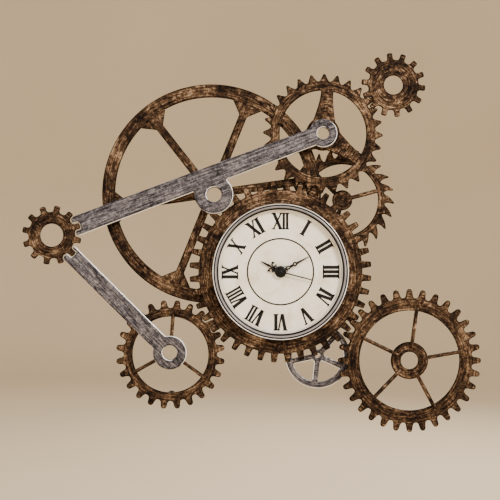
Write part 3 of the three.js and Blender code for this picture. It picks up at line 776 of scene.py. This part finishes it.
def arc_path(centre, radius, start, end, step=2.2):
    count = max(3, math.ceil(math.radians(abs(end - start)) * radius / step))
    return [centre + polar(radius, start + (end - start) * i / count) for i in range(count + 1)]


WELDS = {  # radius, half the seam's length, bead width and height
    "flywheel_rim": (189.6, 30, 3.2, 0.7),
    "flywheel_hub": (37.8, 8.5, 3.0, 0.8),
    "ratchet_rim": (70.8, 4.2, 2.6, 0.7),
    "ratchet_hub": (20.2, 4.2, 2.6, 0.7),
}
COVERED_SPOKE = 2  # this flywheel spoke stops short behind the dial
SPOKE_REACH = 120  # a point well out along a flywheel spoke


def seam_beads(name, weld, centre, middle, faces):
    """A bead on the back and one on the front, along the same seam round a wheel."""
    radius, half_length, width, height = WELDS[weld]
    half = math.degrees(math.asin(half_length / radius))
    for side, face, way in zip(("back", "front"), faces, (-1, 1)):
        path = arc_path(centre, radius, middle - half, middle + half)
        bead(f"{name}_{side}", path, width, face, way * height)


FLYWHEEL_FACES = tuple(-c / MM for c in (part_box("flywheel_rim")[1].y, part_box("flywheel_rim")[0].y))
RATCHET_FACES = tuple(-c / MM for c in (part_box("ratchet_ring")[1].y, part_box("ratchet_ring")[0].y))
for i in range(FLYWHEEL_SPOKES):
    degrees = FLYWHEEL_PHASE + i * 360 / FLYWHEEL_SPOKES
    if i != COVERED_SPOKE:
        seam_beads(f"rim_weld_{i + 1}", "flywheel_rim", wheel_centre("flywheel"), degrees, FLYWHEEL_FACES)
    tip = wheel_centre("flywheel") + polar(SPOKE_REACH, degrees)
    hub = wheel_centre("flywheel") + Vector(HUB_SHIFT["flywheel"])
    turn = math.degrees(math.atan2(tip.x - hub.x, tip.y - hub.y))
    seam_beads(f"hub_weld_{i + 1}", "flywheel_hub", hub, turn, FLYWHEEL_FACES)
for i in range(RATCHET_SPOKES):
    degrees = RATCHET_PHASE + i * 360 / RATCHET_SPOKES
    for end in ("rim", "hub"):
        seam_beads(f"ratchet_{end}_weld_{i + 1}", f"ratchet_{end}", wheel_centre("ratchet"), degrees,
                   RATCHET_FACES)

# ---------------------------------------------------------------- bezel and dial

BEZEL_BACK = 34.3
# painted light on one turned steel: a highlight on the outer crown and the crest, near-black shade in the
# grooves, a pale sheen on the inner lip; SATIN is the steel itself
CROWN_HIGHLIGHT = (0.95, 0.93, 0.90)
SATIN = (0.20, 0.185, 0.195)
CREST_HIGHLIGHT = (0.42, 0.40, 0.41)
GROOVE_SHADE = (0.006, 0.005, 0.005)
LIP_SHEEN = (0.86, 0.82, 0.74)
BEZEL_STEPS = [  # radius, forward, tone, with painted highlights on the crown and crest and painted shade in the grooves
    (132.3, BEZEL_BACK, SATIN), (132.3, 47.8, SATIN), (132.2, 49.0, CROWN_HIGHLIGHT), (131.7, 50.0, CROWN_HIGHLIGHT),
    (130.7, 49.8, CROWN_HIGHLIGHT), (130.4, 48.2, GROOVE_SHADE), (129.3, 47.5, GROOVE_SHADE), (128.3, 48.0, GROOVE_SHADE),
    (128.0, 48.9, SATIN), (126.4, 49.6, CREST_HIGHLIGHT), (124.8, 49.0, SATIN), (124.2, 48.3, SATIN),
    (123.9, 47.2, GROOVE_SHADE), (122.6, 46.4, GROOVE_SHADE), (120.9, 45.9, GROOVE_SHADE), (120.6, 45.6, LIP_SHEEN),
    (119.9, 44.6, LIP_SHEEN), (119.4, 43.0, LIP_SHEEN), (119.4, 36.1, SATIN), (125.7, 36.1, SATIN),
    (125.7, BEZEL_BACK, SATIN),
]
bezel = lathe("turned_bezel", [step[:2] for step in BEZEL_STEPS], Vector(CENTRE), BEZEL,
              turns=192, lit_tones=[step[2] for step in BEZEL_STEPS])
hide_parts("bezel")

chapter = [
    (CHAPTER_RADIUS + side * CHAPTER_HALF_WIDTH, PRINT_FORWARD + up * PRINT_THICK)
    for side, up in ((-1, 0), (-1, 1), (1, 1), (1, 0))
]
lathe("chapter_ring", chapter, Vector(CENTRE), SEPIA, turns=160)

THICK, THIN, SERIF = 6.6, 3.3, 2.4


def upright(at, width=THICK):
    """An I: a thick stem with thin serifs at its foot and head, right and up from the numeral's middle."""
    wing = width / 2 + 1.6
    return [slanted(at, at, width), foot_serif(at, wing), head_serif(at, wing)]


def slanted(foot, head, width):
    half = width / 2
    return [(foot - half, 0), (foot + half, 0), (head + half, NUMERAL_TALL), (head - half, NUMERAL_TALL)]


def head_serif(at, half):
    return [(at - half, NUMERAL_TALL - SERIF), (at + half, NUMERAL_TALL - SERIF),
            (at + half, NUMERAL_TALL), (at - half, NUMERAL_TALL)]


def foot_serif(at, half):
    return [(at - half, 0), (at + half, 0), (at + half, SERIF), (at - half, SERIF)]


def vee(left, right):
    foot = (left + right) / 2
    return [slanted(foot, left + 2, THICK), slanted(foot + 0.8, right - 1, THIN),
            head_serif(left + 2, 4.4), head_serif(right - 1, 3.2)]


def cross(left, right):
    return [slanted(right - 2.2, left + 2.2, THICK), slanted(left + 1.6, right - 1.6, THIN),
            head_serif(left + 2.2, 4.4), head_serif(right - 1.6, 3.2),
            foot_serif(right - 2.2, 4.4), foot_serif(left + 1.6, 3.2)]


NUMERALS = [
    cross(-15.5, 3) + upright(6.4, 4.8) + upright(13, 4.8),
    upright(0),
    upright(-4.4) + upright(4.4),
    upright(-8.6) + upright(0) + upright(8.6),
    upright(-9.5) + vee(-5.5, 11),
    vee(-8.5, 8.5),
    vee(-11.5, 5) + upright(9),
    vee(-14.5, 0) + upright(5, 4.8) + upright(12, 4.8),
    vee(-16.5, -3) + upright(1, 4.4) + upright(7.4, 4.4) + upright(13.8, 4.4),
    upright(-10) + cross(-5.5, 11.5),
    cross(-8.8, 8.8),
    cross(-12.5, 5) + upright(10),
]
for hour, strokes in enumerate(NUMERALS):
    outward = polar(1, hour * 30)
    across = Vector((outward.y, -outward.x))
    placed = [
        [Vector(CENTRE) + across * x + outward * (NUMERAL_FOOT + y) for x, y in outline]
        for outline in strokes
    ]
    slab_piece(f"numeral_{hour or 12}", placed, PRINT_FORWARD, PRINT_FORWARD + PRINT_THICK, INK)

# ---------------------------------------------------------------- hands


def ribbon(points):
    """A flat tapering stroke along (distance, aside, width) points."""
    left, right = [], []
    for i, (x, y, width) in enumerate(points):
        before = points[max(0, i - 1)]
        after = points[min(len(points) - 1, i + 1)]
        along = Vector((after[0] - before[0], after[1] - before[1])).normalized()
        side = Vector((-along.y, along.x)) * width / 2
        left.append((x + side.x, y + side.y))
        right.append((x - side.x, y - side.y))
    return [[right[i], right[i + 1], left[i + 1], left[i]] for i in range(len(points) - 1)]


def loop_ribbon(x, y, long, wide, width, start=0, sweep=360):
    """A ribbon bent round an ellipse at (x, y), or part of the way round."""
    steps = max(6, int(sweep / 15))
    turns = [math.radians(start + sweep * i / steps) for i in range(steps + 1)]
    return ribbon([(x + long * math.cos(t), y + wide * math.sin(t), width) for t in turns])


def hand(name, node, body, degrees, strokes, back, front, hub):
    """A hand lying along a clock angle, with a disc round its arbor."""
    along = polar(1, degrees)
    aside = Vector((along.y, -along.x))
    placed = [[Vector(CENTRE) + along * x + aside * y for x, y in outline] for outline in strokes]
    disc = [Vector(CENTRE) + polar(hub, 360 * i / 40) for i in range(40)]
    obj = slab_piece(name, [*placed, disc], back, front, HAND, body)
    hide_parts(node)


HOUR_AT, MINUTE_AT, SECOND_AT = 298, 62, 104.7  # clock angles at rest
HOUR_STROKES = (
    ribbon([(6, 0, 5.0), (12, 0, 4.0), (16, 0, 3.0), (22, 0, 2.8), (25.5, 0, 4.4), (34, 0, 3.6),
            (43.6, 0, 1.4)])
    + loop_ribbon(17.8, 6.2, 4.0, 3.5, 2.3, 140, 300)
    + loop_ribbon(17.8, -6.2, 4.0, 3.5, 2.3, -80, 300)
    + loop_ribbon(12.8, 3.6, 2.4, 2.0, 1.8)
    + loop_ribbon(12.8, -3.6, 2.4, 2.0, 1.8)
    + loop_ribbon(21.6, 8.8, 1.5, 1.3, 1.6)
    + loop_ribbon(21.6, -8.8, 1.5, 1.3, 1.6)
)
MINUTE_STROKES = (
    ribbon([(6, 0, 5.0), (10, 0, 3.4), (12.6, 0, 2.6)])
    + loop_ribbon(16.8, 0, 4.4, 2.8, 2.5)
    + ribbon([(20.6, 0, 3.0), (23, 0, 5.2), (26, 0, 4.2), (28.4, 0, 3.4)])
    + loop_ribbon(31.8, 0, 3.5, 3.3, 2.6)
    + ribbon([(34.8, 0, 4.0), (38, 0, 4.0), (46, 0, 3.2), (62, 0, 1.6)])
    + loop_ribbon(11.8, 4.0, 2.2, 1.9, 1.4)
    + loop_ribbon(11.8, -4.0, 2.2, 1.9, 1.4)
)
hand("serpentine_hour", "hour_hand", "hour", HOUR_AT, HOUR_STROKES, 38.2, 39.2, 8)
hand("serpentine_minute", "minute_hand", "minute", MINUTE_AT, MINUTE_STROKES, 40.2, 41.2, 8)
needle = ribbon([(-18, 0, 3.8), (-9, 0, 2.8), (0, 0, 2.8), (40, 0, 2.5), (63.3, 0, 2.1)])
hand("sweep_needle", "second_hand", "second", SECOND_AT, needle, 42.2, 42.9, 5)
CAP = [(0.0, 42.2), (11.3, 42.2), (11.5, 42.6), (10.8, 43.1), (8.0, 43.7), (4.0, 44.1), (2.4, 44.2),
       (2.2, 44.9), (1.4, 45.3), (0.0, 45.4)]
lathe("hand_cap", CAP, Vector(CENTRE), HAND, "second", turns=64)

# hand tubes between the dial and the movement
for name, body, outer, inner, back, front in (
    ("hour_tube", "hour", 2.6, 1.75, 28.0, 38.2),
    ("minute_tube", "minute", 1.7, 0.95, 26.0, 40.2),
    ("second_pin", "second", 0.9, 0.0, 25.0, 42.2),
):
    lathe(name, [(inner, back), (outer, back), (outer, front), (inner, front)], Vector(CENTRE), BRASS,
          body, turns=32)

# ---------------------------------------------------------------- carried-over nodes

CARRIED = {
    "dial": CREAM, "movement_case": PLASTIC, "shaft_nut": BRASS, "battery": JACKET, "foot_left": RUBBER,
    "foot_right": RUBBER, "set_knob": PLASTIC,
}
for name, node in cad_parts.items():
    node.data.materials.clear()
    node.data.materials.append(CARRIED.get(name, RUST_PLAIN))
    weld = node.modifiers.new("weld", "WELD")
    weld.merge_threshold = 1e-6
    soften = node.modifiers.new("soften", "BEVEL")
    soften.width = 0.4 * MM
    soften.segments = 2
    soften.limit_method = "ANGLE"
    soften.angle_limit = math.radians(40)

# ---------------------------------------------------------------- fittings on the back


DOME_SIDES = 18


def domes(name, spots, radius, face, height, material):
    """Low round heads on a face at that distance from the wall. They rise towards the wall."""
    vertices, faces = [], []
    sides = DOME_SIDES
    for spot in spots:
        first = len(vertices)
        for share, rise in ((1.0, -0.1), (1.0, 0.3), (0.8, 0.75), (0.45, 0.97)):
            for i in range(sides):
                at = spot + polar(radius * share, 360 * i / sides)
                vertices.append(row_point(at.x, at.y, face - height * rise))
        vertices.append(row_point(spot.x, spot.y, face - height))
        for ring in range(3):
            for i in range(sides):
                a, b = first + ring * sides, first + (ring + 1) * sides
                j = (i + 1) % sides
                faces.append((a + i, a + j, b + j, b + i))
        top = first + 3 * sides
        faces += [(top + i, top + (i + 1) % sides, first + 4 * sides) for i in range(sides)]
        faces.append(tuple(first + i for i in reversed(range(sides))))
    face_outwards(piece_of(name, vertices, faces, material))


def middle_of(node):
    low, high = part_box(node)
    return Vector(((low.x + high.x) / 2 / MM, (low.z + high.z) / 2 / MM))


case_low, case_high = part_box("movement_case")
CASE_BACK = -case_high.y / MM
CASE_SIDE = (case_high.x - case_low.x) / MM
CASE_MIDDLE = middle_of("movement_case")
BAY_UP = middle_of("battery").y - CASE_MIDDLE.y
BAY_SIDE = 25.75  # from the case's middle to either end of its battery bay

# pin places as shares of the case's side
pins = [CASE_MIDDLE + Vector((x, y)) for x in (-0.43, 0.43) for y in (-0.44, 0.43)]
domes("case_pins", [CASE_MIDDLE + (pin - CASE_MIDDLE) * CASE_SIDE for pin in pins], 1.5, CASE_BACK, 0.7,
      PLASTIC)


def block(left, right, bottom, top):
    corners = ((left, bottom), (right, bottom), (right, top), (left, top))
    return [CASE_MIDDLE + Vector(corner) for corner in corners]


RIB_LEFT, RIB_RIGHT, RIB_TALL = -20, 6, 0.9
ribs = [block(RIB_LEFT, RIB_RIGHT, up, up + RIB_TALL) for up in (0, 2.6, 5.2, 7.8, 19.6, 22.2)]
slab_piece("case_ribs", ribs, CASE_BACK - 0.45, CASE_BACK + 0.1, PLASTIC)
lips = [
    block(side - 1.3, side + 1.3, BAY_UP - 3.5, BAY_UP + 3.5) for side in (-BAY_SIDE - 0.6, BAY_SIDE + 0.6)
]
slab_piece("contact_lips", lips, CASE_BACK - 0.3, CASE_BACK + 0.1, TIN)

KNOB_BACK = -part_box("set_knob")[1].y / MM
KNOB_MIDDLE = middle_of("set_knob")
KNOB_RIDGES = 30
RIDGE_OUTER, RIDGE_INNER = 6.3, 5.8
ridged = [
    KNOB_MIDDLE + polar(RIDGE_OUTER if i % 2 else RIDGE_INNER, 180 * (i + 0.5) / KNOB_RIDGES)
    for i in range(2 * KNOB_RIDGES)
]
slab_piece("knob_ridges", [ridged], KNOB_BACK + 0.35, KNOB_BACK + 2.6, PLASTIC, "knob")
cross_bar = [KNOB_MIDDLE + Vector(p) for p in ((-3.6, -0.5), (3.6, -0.5), (3.6, 0.5), (-3.6, 0.5))]
slab_piece("knob_bar", [cross_bar], KNOB_BACK - 0.5, KNOB_BACK + 0.1, PLASTIC, "knob")

STRAPS = {
    "upper": ("clock", "upper"), "corner": ("upper", "corner"), "lower_left": ("clock", "lower_left"),
    "lower_right": ("clock", "lower_right"),
}
for name, (near, far) in STRAPS.items():
    low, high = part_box("strap_" + name)
    middle = middle_of("strap_" + name)
    along = (wheel_centre(far) - wheel_centre(near)).normalized()
    reach = Vector(((high.x - low.x) / MM, (high.z - low.z) / MM)).length / 2 - 9
    domes(f"rivets_{name}", [middle - along * reach, middle + along * reach], 2.4, -high.y / MM, 1.2,
          RUST_PLAIN)

# ---------------------------------------------------------------- studio

COVE_RADIUS, COVE_HEIGHT, FLOOR = 7.0, 5.5, -1.15
CURVE = 1.6


def cove():
    """A pale floor that curves up into a round wall, with its lights inside."""
    look = Look("pale_cove", roughness=0.9)
    tint = look.noise(look.place(), 0.0006, 4, 0.5)
    look.set(Base_Color=look.ramp(tint, [(0.3, (0.70, 0.57, 0.39)), (0.7, (0.74, 0.61, 0.43))]))
    profile = [(0.01, 0.0), (2.0, 0.0), (COVE_RADIUS - CURVE, 0.0)]
    profile += [
        (COVE_RADIUS - CURVE + CURVE * math.sin(a), CURVE - CURVE * math.cos(a))
        for a in np.linspace(0.15, math.pi / 2, 10)
    ]
    profile.append((COVE_RADIUS, COVE_HEIGHT))
    turns = 96
    vertices = [
        (r * math.cos(2 * math.pi * i / turns), r * math.sin(2 * math.pi * i / turns), FLOOR + z)
        for i in range(turns) for r, z in profile
    ]
    size = len(profile)
    faces = [
        (i * size + j, (i + 1) % turns * size + j, (i + 1) % turns * size + j + 1, i * size + j + 1)
        for i in range(turns) for j in range(size - 1)
    ]
    mesh = bpy.data.meshes.new("cove")
    mesh.from_pydata(vertices, [], faces)
    mesh.materials.append(look.material)
    mesh.polygons.foreach_set("use_smooth", [True] * len(mesh.polygons))
    obj = bpy.data.objects.new("cove", mesh)
    bpy.context.scene.collection.objects.link(obj)


def lamp(name, place, aim, size, watts, colour):
    light = bpy.data.lights.new(name, "AREA")
    light.shape = "DISK"
    light.size = size
    light.energy = watts
    light.color = colour
    obj = bpy.data.objects.new(name, light)
    obj.location = place
    obj.rotation_euler = (Vector(aim) - Vector(place)).to_track_quat("-Z", "Y").to_euler()
    obj.visible_camera = False
    bpy.context.scene.collection.objects.link(obj)


cove()
AIM = (-0.15, 0.0, -0.25)
lamp("key", (1.9, -2.4, 1.5), AIM, 1.2, 145, (1.0, 0.96, 0.90))
lamp("fill", (-2.4, -2.2, 0.4), AIM, 2.2, 50, (0.99, 0.98, 0.97))
lamp("rim", (2.3, -0.5, -0.9), AIM, 0.8, 30, (1.0, 0.96, 0.9))
lamp("rear", (1.0, 2.8, 1.3), AIM, 2.0, 80, (1.0, 0.98, 0.95))
world = bpy.data.worlds.new("room")
world.use_nodes = True
world.node_tree.nodes["Background"].inputs["Color"].default_value = (1.0, 0.96, 0.9, 1)
world.node_tree.nodes["Background"].inputs["Strength"].default_value = 0.9
bpy.context.scene.world = world

SHARP_PLANE = 0.033  # of the gears' faces, from the wall
CAMERA_AWAY = 2.0
FRAME_WIDTH = 0.9775  # seen at the gears' faces
CAMERA_RIGHT, CAMERA_UP = -0.0595, 0.0424  # from the dial's middle
SENSOR = 36
camera = bpy.data.objects.new("camera", bpy.data.cameras.new("camera"))
camera.data.sensor_width = SENSOR
camera.data.lens = SENSOR * CAMERA_AWAY / FRAME_WIDTH
camera.location = (
    CENTRE[0] * MM + CAMERA_RIGHT, -SHARP_PLANE - CAMERA_AWAY, CENTRE[1] * MM + CAMERA_UP,
)
camera.rotation_euler = (math.pi / 2, 0, 0)
bpy.context.scene.collection.objects.link(camera)
bpy.context.scene.camera = camera
